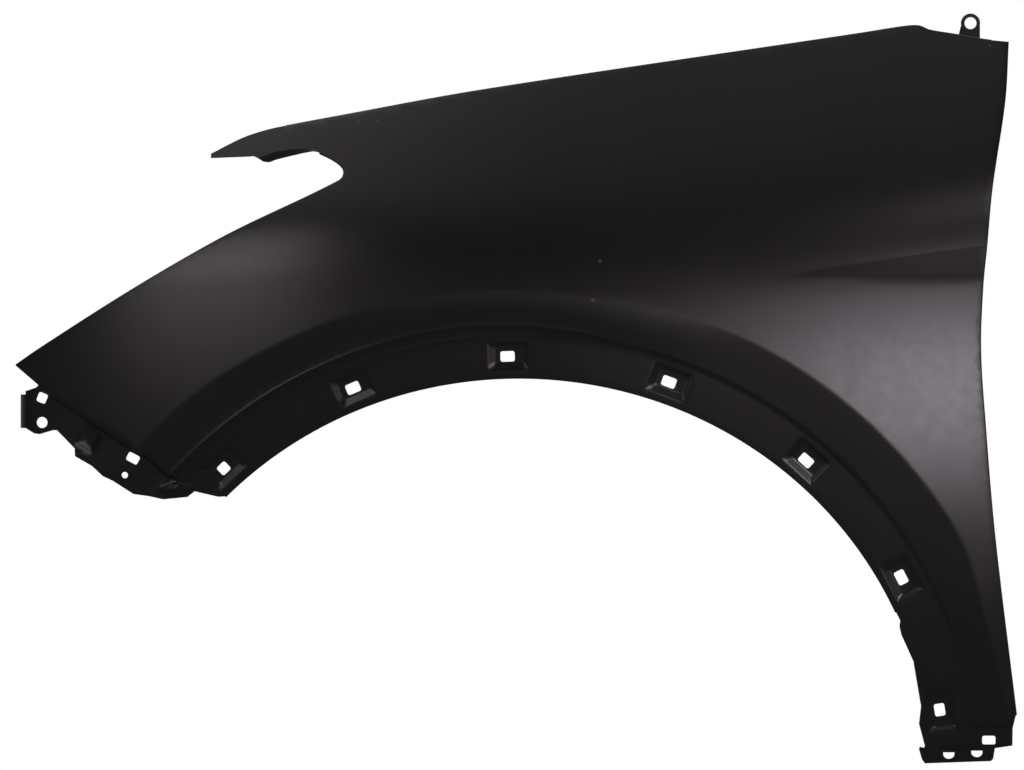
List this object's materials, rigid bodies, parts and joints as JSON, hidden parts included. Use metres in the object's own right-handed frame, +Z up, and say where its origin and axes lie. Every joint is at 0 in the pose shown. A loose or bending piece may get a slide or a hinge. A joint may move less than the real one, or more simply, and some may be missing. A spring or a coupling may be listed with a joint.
{
  "type": "car fender",
  "caption": "Front fender panel of a car, left side: pressed steel skin with an inset band round the wheel arch, clip flange, bumper tab, headlamp notch, hood flange and hinge-side ear.",
  "frame": {"origin": "on the upper face of the shelf of the hood flange, midway between its two rear bolt holes", "axes": "+X towards the rear of the car, along the panel's length; +Y inboard, away from the outer face; +Z up"},
  "size_m": [1.0042, 0.1783, 0.7516],
  "materials": {
    "black_electrocoat": "satin black electrocoat primer on pressed steel sheet, with light handling marks"
  },
  "bodies": {
    "root": {"fender_panel": "black_electrocoat"}
  },
  "joints": []
}
